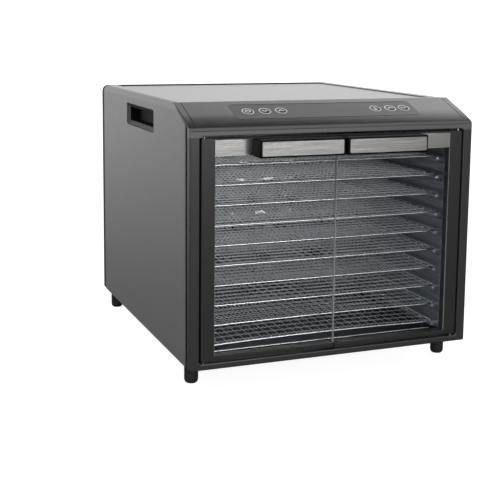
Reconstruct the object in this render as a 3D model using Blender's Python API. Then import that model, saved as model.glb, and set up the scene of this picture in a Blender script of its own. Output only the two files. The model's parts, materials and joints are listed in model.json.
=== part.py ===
"""Ten-tray food dehydrator with two glass doors. Millimetres below, metres in Blender.

+X is to the right as seen from the front, the front faces -Y and +Z is up. The origin is the
bottom centre of the overall box: 445 wide, 525 deep with the handles and 400 high with the feet.
"""

import math

import bmesh
import bpy
from mathutils import Matrix, Vector

MM = 0.001

# Overall box
HALF_W = 222.5
TOP = 400.0
REAR = 262.5
HANDLE_FRONT = -262.5
GAP = 0.3

# Cabinet shell
SHEET = 1.2
SHELL_BOTTOM = 33.0
SHELL_FRONT = -215.0
SHELL_REAR = 247.0
SHELL_TOP_FRONT = -160.0
SHELL_CORNER_Z = 373.4
SHELL_RADIUS = 10.0
SIDE_TOP = 385.0
COVER_WALL = 2.0

# Bezel and control fascia
BEZEL_FRONT = -234.5
BEZEL_STEP = -223.5
BEZEL_BOTTOM = 31.0
BEZEL_TOP = 366.0
NECK_HALF_W = 219.3
OPEN_HALF_W = 208.0
OPEN_BOTTOM = 40.0
OPEN_TOP = 359.0
SLOPE_FRONT = (-228.5, 373.4)
SLOPE_REAR = (SHELL_TOP_FRONT - GAP, TOP)
TOUCH_HALF_W = 146.0
TOUCH_FROM = 16.5
TOUCH_TO = 62.5
TOUCH_DEPTH = 1.2
TOUCH_KEYS = (-122, -96, -71, 81, 106, 129)
ROLL_FROM = 32.0
ROLL_TO = 1.5
ROLL_DROP = 1.3
GROOVE_X = 212.0

# Cavity
LINER_X = 196.5
LINER_T = 1.5
CAVITY_FRONT = -213.3
CAVITY_REAR = 158.0
FLOOR_Z = 42.3
CEILING_Z = 358.0

# Trays, numbered from the top
TRAYS = 10
TRAY_TOP_Z = 316.4
TRAY_PITCH = 28.78
TRAY_T = 2.6
TRAY_HALF_W = 187.0
TRAY_FRONT = -206.0
TRAY_REAR = 152.0
TRAY_RIM = 8.0
TRAY_BAR = 3.0
RIDGE_NOSE_X = 183.0
RIDGE_FRONT = -200.0

# Doors
DOOR_OUT = 205.3
DOOR_IN = 0.8
DOOR_FRONT = -234.0
DOOR_REAR = -220.0
DOOR_BOTTOM = 43.5
DOOR_TOP = 356.0
STILE_IN = 185.7
RAIL_TOP = 50.2
TRIM_BOTTOM = 353.6
TOP_RAIL_BOTTOM = 331.0
GLASS_FRONT = -231.4
GLASS_T = 4.0
HINGE_X = 200.2
HINGE_Y = -229.8
PIN_R = 2.0

# Handles
HANDLE_IN = 1.5
HANDLE_OUT = 131.0
HANDLE_BOTTOM = 329.5
HANDLE_TOP = 355.0
PLATE = (4.7, 128.2, 332.0, 352.2)
PLATE_T = 1.2

# Side grab handles
GRAB_Y = (-62.7, 91.0)
GRAB_Z = (347.3, 381.2)
GRAB_SLANT = 6.5
GRAB_DEPTH = 19.0

# Feet
FOOT_H = 33.0
FOOT_R = 10.2
FOOT_X = 204.0
FOOT_Y = (-187.6, 238.5)

# Fan, heater and motor behind the cavity
FAN_Z = 200.0
FAN_Y = (178.0, 200.0)
HUB_R = 26.0
BLADE_R = 88.0
BLADES = 7
HEATER_R = 112.0

# Finishes: base colour, roughness, metallic, alpha and the words that pick the parts, first match first
FINISHES = [
    ("satin_plastic", (0.05, 0.05, 0.052), 0.45, 0.0, 1.0, ("grab_handle",)),
    ("brushed_steel", (0.6, 0.6, 0.6), 0.3, 1.0, 1.0, ("handle_plate", "top_rail", "hinge_pin")),
    ("gloss_black", (0.01, 0.01, 0.01), 0.2, 0.0, 1.0, ("_handle", "catch", "power_inlet")),
    ("door_plastic", (0.05, 0.05, 0.052), 0.3, 0.0, 1.0, ("door_frame",)),
    ("clear_glass", (0.85, 0.87, 0.88), 0.03, 0.0, 0.25, ("door_glass",)),
    ("grey_paint", (0.22, 0.22, 0.22), 0.45, 0.0, 1.0, ("side_panel", "top_panel")),
    ("dark_paint", (0.04, 0.04, 0.042), 0.45, 0.0, 1.0, ("rear_cover", "base_pan")),
    ("rubber", (0.02, 0.02, 0.02), 0.8, 0.0, 1.0, ("foot",)),
    ("bezel_plastic", (0.06, 0.06, 0.062), 0.35, 0.0, 1.0, ("bezel",)),
    ("fascia_plastic", (0.16, 0.16, 0.165), 0.3, 0.0, 1.0, ("fascia",)),
    ("smoked_gloss", (0.06, 0.06, 0.065), 0.15, 0.0, 1.0, ("touch_panel",)),
    ("circuit_board", (0.02, 0.12, 0.05), 0.5, 0.0, 1.0, ("board",)),
    ("mesh_steel", (0.62, 0.62, 0.62), 0.3, 1.0, 1.0, ("tray",)),
    ("sheet_steel", (0.45, 0.45, 0.46), 0.4, 1.0, 1.0, ("liner", "baffle", "bracket")),
    ("motor_paint", (0.08, 0.08, 0.085), 0.5, 0.0, 1.0, ("fan_motor",)),
    ("aluminium", (0.6, 0.6, 0.62), 0.45, 1.0, 1.0, ("fan_",)),
    ("dull_steel", (0.35, 0.33, 0.31), 0.4, 1.0, 1.0, ("heater", "probe")),
]


# ---- helpers ----------------------------------------------------------------------------------


def clear_scene():
    for obj in list(bpy.data.objects):
        bpy.data.objects.remove(obj, do_unlink=True)


def finish_mesh(name, bm, matrix=None):
    bmesh.ops.remove_doubles(bm, verts=bm.verts, dist=1e-4)
    bmesh.ops.recalc_face_normals(bm, faces=bm.faces)
    if matrix is not None:
        bmesh.ops.transform(bm, matrix=matrix, verts=bm.verts)
    bmesh.ops.scale(bm, vec=(MM, MM, MM), verts=bm.verts)
    mesh = bpy.data.meshes.new(name)
    bm.to_mesh(mesh)
    bm.free()
    obj = bpy.data.objects.new(name, mesh)
    bpy.context.scene.collection.objects.link(obj)
    return obj


def place(pts, axis, level):
    """2-D points put on the plane where the axis has that level."""
    if axis == "X":
        return [(level, a, b) for a, b in pts]
    if axis == "Y":
        return [(a, level, b) for a, b in pts]
    return [(a, b, level) for a, b in pts]


def loft(name, loops, closed=False, matrix=None):
    """Skin through loops of equal length, capped at both ends or joined end to end."""
    bm = bmesh.new()
    rows = [[bm.verts.new(p) for p in loop] for loop in loops]
    count = len(rows[0])
    pairs = list(zip(rows, rows[1:]))
    if closed:
        pairs.append((rows[-1], rows[0]))
    for a, b in pairs:
        for i in range(count):
            j = (i + 1) % count
            bm.faces.new((a[i], a[j], b[j], b[i]))
    if not closed:
        bm.faces.new(rows[0])
        bm.faces.new(rows[-1])
    return finish_mesh(name, bm, matrix)


def prism(name, pts, axis, lo, hi, matrix=None):
    return loft(name, [place(pts, axis, lo), place(pts, axis, hi)], matrix=matrix)


def box(name, x, y, z, matrix=None):
    pts = [(x[0], y[0]), (x[1], y[0]), (x[1], y[1]), (x[0], y[1])]
    return prism(name, pts, "Z", z[0], z[1], matrix)


def rounded(u, v, radii, steps=4):
    """Rectangle with its own radius at each corner: low-low, high-low, high-high, low-high."""
    if not isinstance(radii, tuple):
        radii = (radii,) * 4
    corners = [(u[0], v[0], 1, 1), (u[1], v[0], -1, 1), (u[1], v[1], -1, -1), (u[0], v[1], 1, -1)]
    pts = []
    for k, (cu, cv, su, sv) in enumerate(corners):
        r = max(radii[k], 0.02)
        ou, ov = cu + su * r, cv + sv * r
        start = math.pi + k * math.pi / 2
        for i in range(steps + 1):
            a = start + i * math.pi / 2 / steps
            pts.append((ou + r * math.cos(a), ov + r * math.sin(a)))
    return pts


def inset(u, v, d):
    return (u[0] + d, u[1] - d), (v[0] + d, v[1] - d)


def lathe(name, profile, axis_point, axis="Z", steps=24):
    """Solid turned from (radius, height) pairs that start and end on the axis."""
    loops = []
    for r, h in profile:
        ring = []
        for i in range(steps):
            a = 2 * math.pi * i / steps
            u, v = max(r, 0.01) * math.cos(a), max(r, 0.01) * math.sin(a)
            if axis == "Z":
                ring.append((axis_point[0] + u, axis_point[1] + v, h))
            else:
                ring.append((axis_point[0] + u, h, axis_point[1] + v))
        loops.append(ring)
    return loft(name, loops)


def tube(name, path, radius, steps=8):
    """Round bar along a path."""
    pts = [Vector(p) for p in path]
    loops = []
    normal = Vector((0, 1, 0))
    for i, p in enumerate(pts):
        ahead = pts[min(i + 1, len(pts) - 1)] - p
        behind = p - pts[max(i - 1, 0)]
        tangent = (ahead + behind).normalized()
        side = tangent.cross(normal).normalized()
        up = side.cross(tangent).normalized()
        ring = []
        for k in range(steps):
            a = 2 * math.pi * k / steps
            ring.append(p + side * radius * math.cos(a) + up * radius * math.sin(a))
        loops.append(ring)
    return loft(name, loops)


def slab(name, us, vs, is_hole, axis, lo, hi):
    """Plate of rectangular cells between the lines us and vs, with some cells left out."""
    bm = bmesh.new()
    cache = {}

    def vert(i, j, level):
        key = (i, j, level)
        if key not in cache:
            cache[key] = bm.verts.new(place([(us[i], vs[j])], axis, level)[0])
        return cache[key]

    def solid(i, j):
        return 0 <= i < len(us) - 1 and 0 <= j < len(vs) - 1 and not is_hole(i, j)

    for i in range(len(us) - 1):
        for j in range(len(vs) - 1):
            if not solid(i, j):
                continue
            ring = [(i, j), (i + 1, j), (i + 1, j + 1), (i, j + 1)]
            bm.faces.new([vert(a, b, lo) for a, b in ring])
            bm.faces.new([vert(a, b, hi) for a, b in ring])
            for k, (di, dj) in enumerate([(0, -1), (1, 0), (0, 1), (-1, 0)]):
                if not solid(i + di, j + dj):
                    a, b = ring[k], ring[(k + 1) % 4]
                    bm.faces.new([vert(*a, lo), vert(*b, lo), vert(*b, hi), vert(*a, hi)])
    return finish_mesh(name, bm)


def combine(obj, others, operation):
    """Boolean baked into the mesh; the other solids are used up."""
    for other in others:
        mod = obj.modifiers.new("bool", "BOOLEAN")
        mod.operation = operation
        mod.solver = "EXACT"
        mod.object = other
        graph = bpy.context.evaluated_depsgraph_get()
        baked = bpy.data.meshes.new_from_object(obj.evaluated_get(graph))
        obj.modifiers.clear()
        obj.data = baked
        bpy.data.objects.remove(other, do_unlink=True)
    bm = bmesh.new()
    bm.from_mesh(obj.data)
    bmesh.ops.remove_doubles(bm, verts=bm.verts, dist=2e-6)
    bmesh.ops.dissolve_degenerate(bm, edges=bm.edges, dist=1e-6)
    bm.to_mesh(obj.data)
    bm.free()
    return obj


def cut(obj, *cutters):
    return combine(obj, cutters, "DIFFERENCE")


def add(obj, *solids):
    return combine(obj, solids, "UNION")


def soften(obj, width, steps, keep):
    """Rounds the edges whose two end points, in mm, both pass keep()."""
    bm = bmesh.new()
    bm.from_mesh(obj.data)
    chosen = []
    for edge in bm.edges:
        a, b = edge.verts[0].co / MM, edge.verts[1].co / MM
        if edge.calc_face_angle(0) > 0.6 and keep(a, b):
            chosen.append(edge)
    bmesh.ops.bevel(
        bm, geom=chosen, offset=width * MM, segments=steps, profile=0.5, affect="EDGES"
    )
    bm.to_mesh(obj.data)
    bm.free()
    return obj


def mirrored(side, a, b):
    """The range a..b on the right, or its mirror image on the left."""
    return (a, b) if side > 0 else (-b, -a)


def tray_z(index):
    return TRAY_TOP_Z - TRAY_PITCH * index


SIDES = {"left": -1, "right": 1}


# ---- cabinet ------------------------------------------------------------------------------------


def side_panels():
    outline = [
        (SHELL_FRONT, SHELL_BOTTOM),
        (SHELL_REAR, SHELL_BOTTOM),
        (SHELL_REAR, SIDE_TOP - 0.05),
        (shell_slope_y(SIDE_TOP - 0.05), SIDE_TOP - 0.05),
        (SHELL_FRONT, SHELL_CORNER_Z),
    ]
    for side, s in SIDES.items():
        x = mirrored(s, HALF_W - SHEET, HALF_W)
        panel = prism(side + "_side_panel", outline, "X", *x)
        hole = prism("hole", rounded(*inset(GRAB_Y, GRAB_Z, -0.4), 4.4), "X", x[0] - 5, x[1] + 5)
        cut(panel, hole)


def shell_slope_y(z):
    """Where the sloped front edge of the shell is at this height."""
    share = (z - SHELL_CORNER_Z) / (TOP - SHELL_CORNER_Z)
    return SHELL_FRONT + share * (SHELL_TOP_FRONT - SHELL_FRONT)


def top_panel():
    def arch(half, top, radius):
        pts = [(-half, SIDE_TOP)]
        for k in range(7):
            a = math.pi - k * math.pi / 12
            pts.append((-half + radius + radius * math.cos(a), top - radius + radius * math.sin(a)))
        return pts + [(-x, z) for x, z in reversed(pts)]

    outer = arch(HALF_W, TOP, SHELL_RADIUS)
    inner = arch(HALF_W - SHEET, TOP - SHEET, SHELL_RADIUS - SHEET)
    panel = prism("top_panel", outer + inner[::-1], "Y", SHELL_FRONT, SHELL_REAR)
    front = [
        (SHELL_FRONT - 5, SHELL_CORNER_Z),
        (SHELL_FRONT, SHELL_CORNER_Z),
        (SHELL_TOP_FRONT, TOP),
        (SHELL_TOP_FRONT, TOP + 5),
        (SHELL_FRONT - 5, TOP + 5),
    ]
    cut(panel, prism("front", front, "X", -300, 300))


def rear_cover():
    u, v = (-HALF_W, HALF_W), (SHELL_BOTTOM, TOP)

    def loop(d, y):
        r = SHELL_RADIUS - d
        return place(rounded(*inset(u, v, d), (2.2, 2.2, r, r)), "Y", y)

    w = COVER_WALL
    loops = [
        loop(w, REAR - 2.4),
        loop(w, SHELL_REAR + GAP),
        loop(0, SHELL_REAR + GAP),
        loop(0, REAR - 3.0),
        loop(0.9, REAR - 0.9),
        loop(3.0, REAR),
    ]
    cover = loft("rear_cover", loops)
    slots = []
    for column in (-1, 1):
        for row in range(9):
            z = 150 + row * 16
            x = sorted((column * 22, column * 150))
            slots.append(prism("slot", rounded(x, (z, z + 6), 2.9), "Y", 250, 270))
    slots.append(prism("inlet", rounded((128.5, 167.5), (58.5, 91.5), 3.5), "Y", 250, 270))
    cut(cover, *slots)


def base_pan():
    u, v = (-HALF_W + SHEET + GAP, HALF_W - SHEET - GAP), (SHELL_FRONT + GAP, SHELL_REAR - GAP)
    t = 1.5
    loops = [
        place(rounded(*inset(u, v, t), 2.0, 2), "Z", SHELL_BOTTOM + t),
        place(rounded(*inset(u, v, t), 2.0, 2), "Z", FLOOR_Z - LINER_T - GAP),
        place(rounded(u, v, 3.5, 2), "Z", FLOOR_Z - LINER_T - GAP),
        place(rounded(u, v, 3.5, 2), "Z", SHELL_BOTTOM),
    ]
    loft("base_pan", loops)


def feet():
    profile = [
        (0, 0),
        (7.4, 0),
        (9.2, 1.6),
        (FOOT_R, 5.0),
        (FOOT_R, 25.5),
        (8.6, 28.0),
        (8.6, FOOT_H - 0.02),
        (0, FOOT_H - 0.02),
    ]
    for end, y in zip(("front", "rear"), FOOT_Y):
        for side, s in SIDES.items():
            lathe(f"foot_{end}_{side}", profile, (s * FOOT_X, y), steps=20)


def grab_handles():
    for side, s in SIDES.items():
        face = s * (HALF_W - 0.2)

        def loop(d, depth, radius=4.0, face=face, s=s):
            r = max(radius - d, 1.5)
            return place(rounded(*inset(GRAB_Y, GRAB_Z, d), r, 3), "X", face - s * depth)

        loops = [
            loop(GRAB_SLANT + 0.5, GRAB_DEPTH - 2.0),
            loop(GRAB_SLANT, 5.2),
            loop(1.2, 1.0),
            loop(0.5, 0.0),
            loop(0.0, 0.4),
            loop(0.0, 2.0),
            loop(GRAB_SLANT - 2.0, 6.5),
            loop(GRAB_SLANT - 1.5, GRAB_DEPTH),
        ]
        loft(side + "_grab_handle", loops)


# ---- bezel and controls -------------------------------------------------------------------------


def front_bezel():
    outer_u, outer_v = (-HALF_W, HALF_W), (BEZEL_BOTTOM, BEZEL_TOP)
    neck_u, neck_v = (-NECK_HALF_W, NECK_HALF_W), (SHELL_BOTTOM + GAP, BEZEL_TOP - GAP)
    open_u, open_v = (-OPEN_HALF_W, OPEN_HALF_W), (OPEN_BOTTOM, OPEN_TOP)
    corner = (3.0, 3.0, 0.3, 0.3)
    back = SHELL_FRONT - GAP
    loops = [
        place(rounded(*inset(outer_u, outer_v, 1.8), (1.5, 1.5, 0.1, 0.1)), "Y", BEZEL_FRONT),
        place(rounded(*inset(outer_u, outer_v, 0.5), (2.5, 2.5, 0.2, 0.2)), "Y", BEZEL_FRONT + 0.5),
        place(rounded(outer_u, outer_v, corner), "Y", BEZEL_FRONT + 1.8),
        place(rounded(outer_u, outer_v, corner), "Y", BEZEL_STEP),
        place(rounded(neck_u, neck_v, corner), "Y", BEZEL_STEP),
        place(rounded(neck_u, neck_v, corner), "Y", back),
        place(rounded(open_u, open_v, 5.0), "Y", back),
        place(rounded(open_u, open_v, 5.0), "Y", BEZEL_FRONT + 1.2),
        place(rounded(*inset(open_u, open_v, -0.4), 5.4), "Y", BEZEL_FRONT + 0.3),
        place(rounded(*inset(open_u, open_v, -1.2), 6.2), "Y", BEZEL_FRONT),
    ]
    bezel = loft("front_bezel", loops, closed=True)
    bores = []
    for s in SIDES.values():
        for z in ((OPEN_TOP - 3, OPEN_TOP + 5), (OPEN_BOTTOM - 5, OPEN_BOTTOM + 3)):
            bores.append(cylinder("bore", s * HINGE_X, HINGE_Y, PIN_R + 0.25, z))
    cut(bezel, *bores)


def cylinder(name, x, y, radius, z, steps=16):
    pts = []
    for i in range(steps):
        a = 2 * math.pi * i / steps
        pts.append((x + radius * math.cos(a), y + radius * math.sin(a)))
    return prism(name, pts, "Z", z[0], z[1])


def slope_frame():
    """Takes x, distance up the slope and height off it to the cabinet's own axes."""
    run = SLOPE_REAR[0] - SLOPE_FRONT[0]
    rise = SLOPE_REAR[1] - SLOPE_FRONT[1]
    angle = math.atan2(rise, run)
    origin = Vector((0, SLOPE_FRONT[0], SLOPE_FRONT[1]))
    return Matrix.Translation(origin) @ Matrix.Rotation(angle, 4, "X")


def slope_point(s, height):
    """Y and z of a point this far up the slope and this high off it."""
    p = slope_frame() @ Vector((0, s, height))
    return (p.y, p.z)


def front_roll(steps=5):
    """The slope's lower end, which drops away towards the nose."""
    pts = []
    for i in range(steps + 1):
        s = ROLL_FROM + (ROLL_TO - ROLL_FROM) * i / steps
        pts.append(slope_point(s, -ROLL_DROP * (i / steps) ** 2))
    return pts


def control_fascia():
    nose = [(-230.6, 370.7), (-233.2, 368.9), (BEZEL_FRONT, BEZEL_TOP + GAP)]
    heel = [(BEZEL_STEP, BEZEL_TOP + GAP), (BEZEL_STEP, 368.5), (-221.0, 373.0)]
    roll = front_roll()
    full = [SLOPE_REAR] + roll + nose + heel
    moves = [(-0.4, -0.25)] + [(0.3, -1.0)] * len(roll) + [(0.8, -0.9), (1.1, -0.5), (1.2, 0.0)]
    end = [(y + dy, z + dz) for (y, z), (dy, dz) in zip(full, moves)] + heel
    middle = [(y + dy * 0.3, z + dz * 0.3) for (y, z), (dy, dz) in zip(full, moves)] + heel
    sections = [(HALF_W, end), (HALF_W - 0.4, middle), (HALF_W - 1.6, full)]
    loops = [place(pts, "X", -x) for x, pts in sections]
    loops += [place(pts, "X", x) for x, pts in sections[::-1]]
    body = loft("control_fascia", loops)
    neck = [
        (BEZEL_STEP - 2, BEZEL_TOP + GAP),
        (SHELL_FRONT - GAP, BEZEL_TOP + GAP),
        (SHELL_FRONT - GAP, SHELL_CORNER_Z),
        (-176.0, 391.8),
        (-176.0, 393.3),
        (BEZEL_STEP - 2, SHELL_CORNER_Z - 2),
    ]
    hollow = [
        (-231.6, 360.0),
        (-231.6, 366.4),
        (-228.6, 368.2),
        (-226.0, 369.6),
        (-206.0, 378.4),
        (-166.0, 394.8),
        (-150.0, 394.8),
        (-150.0, 360.0),
    ]
    add(body, prism("neck", neck, "X", -NECK_HALF_W, NECK_HALF_W))
    pocket = prism(
        "pocket",
        rounded((-TOUCH_HALF_W, TOUCH_HALF_W), (TOUCH_FROM, TOUCH_TO), 6.0),
        "Z",
        -TOUCH_DEPTH,
        5.0,
        slope_frame(),
    )
    grooves = []
    for s in SIDES.values():
        x = (s * GROOVE_X - 0.5, s * GROOVE_X + 0.5)
        grooves.append(box("groove", x, (2.0, 71.0), (-2.2, 2.0), slope_frame()))
    cut(body, prism("hollow", hollow, "X", -216.0, 216.0), pocket, *grooves)
    u, v = inset((-TOUCH_HALF_W, TOUCH_HALF_W), (TOUCH_FROM, TOUCH_TO), GAP)
    prism("touch_panel", rounded(u, v, 5.7), "Z", 0.05 - TOUCH_DEPTH, 0.0, slope_frame())
    board = box("control_board", (-136, 136), (24, 56), (-9.6, -8.0), slope_frame())
    parts = []
    for x in TOUCH_KEYS:
        parts.append(box("key", (x - 4, x + 4), (36, 44), (-8.5, -4.6), slope_frame()))
    parts.append(box("display", (-40, 40), (30, 50), (-8.5, -4.8), slope_frame()))
    add(board, *parts)


# ---- cavity ------------------------------------------------------------------------------------


def ridge(s, top):
    """Rail that a tray's side rests on, with a rounded front end."""
    root = LINER_X + 0.5
    nose = RIDGE_NOSE_X
    section = [
        (root, top),
        (nose + 3.5, top),
        (nose + 0.9, top - 1.6),
        (nose, top - 4.4),
        (nose + 1.2, top - 7.4),
        (nose + 4.5, top - 9.0),
        (root, min(top - 9.0, max(top - 12.0, FLOOR_Z + 0.5))),
    ]

    def shrunk(reach, height, y):
        pts = []
        for x, z in section:
            pts.append((s * (root - reach * (root - x)), top - 5.0 + height * (z - top + 5.0)))
        return place(pts, "Y", y)

    return loft("ridge", [
        shrunk(0.55, 0.6, RIDGE_FRONT),
        shrunk(0.88, 0.9, RIDGE_FRONT + 1.4),
        shrunk(1.0, 1.0, RIDGE_FRONT + 4.5),
        shrunk(1.0, 1.0, CAVITY_REAR - 1.0),
    ])


def liners():
    for side, s in SIDES.items():
        z = (FLOOR_Z + 0.3, CEILING_Z - 0.3)
        wall = box(side + "_liner", mirrored(s, LINER_X, LINER_X + LINER_T),
                   (CAVITY_FRONT, CAVITY_REAR), z)
        flange = box("flange", mirrored(s, LINER_X + 0.2, 213.0),
                     (CAVITY_FRONT - 1.4, CAVITY_FRONT + 0.1), (z[0] + 0.5, z[1] - 0.5))
        add(wall, flange, *[ridge(s, tray_z(k) - TRAY_T - 0.2) for k in range(TRAYS)])
    box("liner_floor", (-LINER_X - 1.5, LINER_X + 1.5), (CAVITY_FRONT - 1.4, CAVITY_REAR),
        (FLOOR_Z - LINER_T, FLOOR_Z))
    box("liner_top", (-LINER_X - 1.5, LINER_X + 1.5), (CAVITY_FRONT - 1.4, CAVITY_REAR),
        (CEILING_Z, CEILING_Z + LINER_T))


def grid_lines(lo, hi, edge, holes, bar):
    """Cell lines for a plate with a plain edge and evenly spaced holes."""
    width = (hi - lo - 2 * edge - (holes - 1) * bar) / holes
    lines = [lo]
    at = lo + edge
    for _ in range(holes):
        lines += [at, at + width]
        at += width + bar
    return lines + [hi]


def odd_cell(i, j):
    return i % 2 == 1 and j % 2 == 1


def rear_baffle():
    xs = grid_lines(-LINER_X + 0.3, LINER_X - 0.3, 30, 7, 14)
    zs = grid_lines(FLOOR_Z + 0.5, CEILING_Z - 0.5, 34, 9, 14)
    slab("rear_baffle", xs, zs, odd_cell, "Y", CAVITY_REAR + GAP, CAVITY_REAR + GAP + 2.0)


def trays():
    xs = grid_lines(-TRAY_HALF_W, TRAY_HALF_W, TRAY_RIM, 8, TRAY_BAR)
    ys = grid_lines(TRAY_FRONT, TRAY_REAR, TRAY_RIM, 2, TRAY_BAR)
    for k in range(TRAYS):
        top = tray_z(k)
        slab(f"tray_{k + 1:02d}", xs, ys, odd_cell, "Z", top - TRAY_T, top)


def drip_tray():
    u, v = (-180.0, 180.0), (TRAY_FRONT, TRAY_REAR)
    floor = FLOOR_Z + 0.3
    loops = [
        place(rounded(*inset(u, v, 4.0), 4.0, 2), "Z", floor + 1.2),
        place(rounded(*inset(u, v, 2.0), 5.0, 2), "Z", floor + 5.2),
        place(rounded(u, v, 6.0, 2), "Z", floor + 5.2),
        place(rounded(u, v, 6.0, 2), "Z", floor + 4.2),
        place(rounded(*inset(u, v, 1.2), 5.0, 2), "Z", floor + 4.2),
        place(rounded(*inset(u, v, 3.0), 4.5, 2), "Z", floor),
    ]
    loft("drip_tray", loops)


def catches():
    y = (DOOR_REAR + 0.6, CAVITY_FRONT - 1.4 - 0.1)
    for name, z in (("catch_top", (350.5, CEILING_Z - 0.1)), ("catch_bottom", (FLOOR_Z + 0.1, 49.6))):
        prism(name, rounded((-9.0, 9.0), z, 1.2, 2), "Y", *y)


# ---- fan compartment ---------------------------------------------------------------------------


def fan_compartment():
    centre = (0.0, FAN_Z)
    fan = lathe("fan_impeller", [
        (0, FAN_Y[0]), (HUB_R - 8, FAN_Y[0]), (HUB_R, FAN_Y[0] + 6), (HUB_R, FAN_Y[1]), (0, FAN_Y[1])
    ], centre, "Y", 21)
    blades = []
    for k in range(BLADES):
        loops = []
        for r, chord, twist in ((HUB_R - 3, 22, 0.75), (55, 34, 0.55), (BLADE_R, 46, 0.38)):
            tilt = Matrix.Rotation(twist, 3, "Z")
            ring = []
            for cx, cy in ((-chord / 2, -0.8), (chord / 2, -0.8), (chord / 2, 0.8), (-chord / 2, 0.8)):
                p = tilt @ Vector((cx, cy, 0))
                ring.append((p.x, p.y + (FAN_Y[0] + FAN_Y[1]) / 2 + 1, r))
            loops.append(ring)
        turn = Matrix.Translation((0, 0, FAN_Z)) @ Matrix.Rotation(2 * math.pi * k / BLADES, 4, "Y")
        blades.append(loft("blade", loops, matrix=turn))
    add(fan, *blades)
    lathe("fan_shaft", [(0, FAN_Y[1] + 0.02), (3, FAN_Y[1] + 0.02), (3, 209.6), (0, 209.6)],
          centre, "Y", 12)
    lathe("fan_motor", [
        (0, 210.0), (9, 210.0), (9, 212.0), (27, 212.0), (31, 215.0), (31, 240.0), (26, 244.0), (0, 244.0)
    ], centre, "Y", 24)
    bracket = box("motor_bracket", (-120, 120), (244.2, 246.0), (FAN_Z - 14, FAN_Z + 14))
    add(bracket,
        box("leg", (-120, -100), (161.0, 245.0), (FAN_Z - 14, FAN_Z + 14)),
        box("leg", (100, 120), (161.0, 245.0), (FAN_Z - 14, FAN_Z + 14)))
    cut(bracket,
        box("gap", (-118, -90), (150.0, 243.8), (FAN_Z - 20, FAN_Z + 20)),
        box("gap", (90, 118), (150.0, 243.8), (FAN_Z - 20, FAN_Z + 20)))
    ring = [(BLADE_R + 4, 168.0), (BLADE_R + 4, 200.0), (BLADE_R + 6, 200.0), (BLADE_R + 6, 170.0),
            (BLADE_R + 12, 168.0)]
    loops = [[(r * math.cos(a), y, FAN_Z + r * math.sin(a)) for r, y in ring]
             for a in [2 * math.pi * i / 32 for i in range(32)]]
    loft("fan_shroud", loops, closed=True)
    heater()
    lathe("temperature_probe", [(0, 144), (2, 144.4), (3, 146), (3, 157), (6, 157), (6, 158.1), (0, 158.1)],
          (170.0, 338.0), "Y", 12)


def heater():
    path = [(-150.0, 226.0, 86.0), (-150.0, 190.0, 86.0)]
    steps = 30
    for i in range(steps + 1):
        a = math.radians(-130) - 2 * math.pi * i / steps * 0.86
        path.append((HEATER_R * math.cos(a), 186.0, FAN_Z + HEATER_R * math.sin(a)))
    path += [(10.0, 190.0, 78.0), (10.0, 226.0, 78.0)]
    tube("heater_element", path, 3.4, 8)


def electrics():
    board = box("power_board", (60, 190), (200, 246), (45.0, 46.6))
    add(board,
        box("relay", (72, 96), (208, 226), (46.0, 62.0)),
        box("transformer", (104, 136), (206, 236), (46.0, 70.0)),
        box("heatsink", (150, 156), (204, 240), (46.0, 66.0)))
    u, v = (128.8, 167.2), (58.8, 91.2)
    loops = [
        place(rounded(*inset(u, v, 5.0), 2.0, 2), "Y", 248.0),
        place(rounded(*inset(u, v, 5.0), 2.0, 2), "Y", REAR - 0.2),
        place(rounded(u, v, 3.2, 2), "Y", REAR - 0.2),
        place(rounded(u, v, 3.2, 2), "Y", 247.2),
    ]
    inlet = loft("power_inlet", loops)
    pins = []
    for x, z in ((139.0, 70.0), (157.0, 70.0), (148.0, 79.0)):
        pins.append(box("pin", (x - 1.2, x + 1.2), (247.6, 258.0), (z - 2.4, z + 2.4)))
    add(inlet, *pins)


# ---- doors ---------------------------------------------------------------------------------------


def doors():
    for side, s in SIDES.items():
        outline = [
            (DOOR_IN, DOOR_BOTTOM), (DOOR_OUT - 2.5, DOOR_BOTTOM), (DOOR_OUT - 0.7, DOOR_BOTTOM + 0.7),
            (DOOR_OUT, DOOR_BOTTOM + 2.5), (DOOR_OUT, DOOR_TOP - 2.5), (DOOR_OUT - 0.7, DOOR_TOP - 0.7),
            (DOOR_OUT - 2.5, DOOR_TOP), (DOOR_IN, DOOR_TOP), (DOOR_IN, TRIM_BOTTOM),
            (STILE_IN, TRIM_BOTTOM), (STILE_IN, RAIL_TOP), (DOOR_IN, RAIL_TOP),
        ]
        outline = [(s * a, b) for a, b in outline]
        frame = prism(side + "_door_frame", outline, "Y", DOOR_FRONT, DOOR_REAR)

        def front_edge(a, b):
            return a.y < DOOR_FRONT + 0.1 and b.y < DOOR_FRONT + 0.1

        soften(frame, 0.7, 2, front_edge)
        bores = []
        for z in ((DOOR_TOP - 9, DOOR_TOP + 3), (DOOR_BOTTOM - 3, DOOR_BOTTOM + 9)):
            bores.append(cylinder("bore", s * HINGE_X, HINGE_Y, PIN_R + 0.3, z))
        cut(frame, *bores)
        x = mirrored(s, DOOR_IN + 0.1, STILE_IN - 0.15)
        prism(side + "_door_glass", rounded(x, (RAIL_TOP + 0.15, TRIM_BOTTOM - 0.15), 0.6, 1), "Y",
              GLASS_FRONT, GLASS_FRONT + GLASS_T)
        rail = rounded(x, (TOP_RAIL_BOTTOM, TRIM_BOTTOM - 0.15), 0.4, 1)
        prism(side + "_door_top_rail", rail, "Y", GLASS_FRONT - 1.9, GLASS_FRONT - 0.1)
        handle(side, s)
        for end, z in (("top", (DOOR_TOP - 8.5, OPEN_TOP + 4.5)),
                       ("bottom", (OPEN_BOTTOM - 4.5, DOOR_BOTTOM + 8.5))):
            cylinder(f"hinge_pin_{side}_{end}", s * HINGE_X, HINGE_Y, PIN_R, z)


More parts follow.
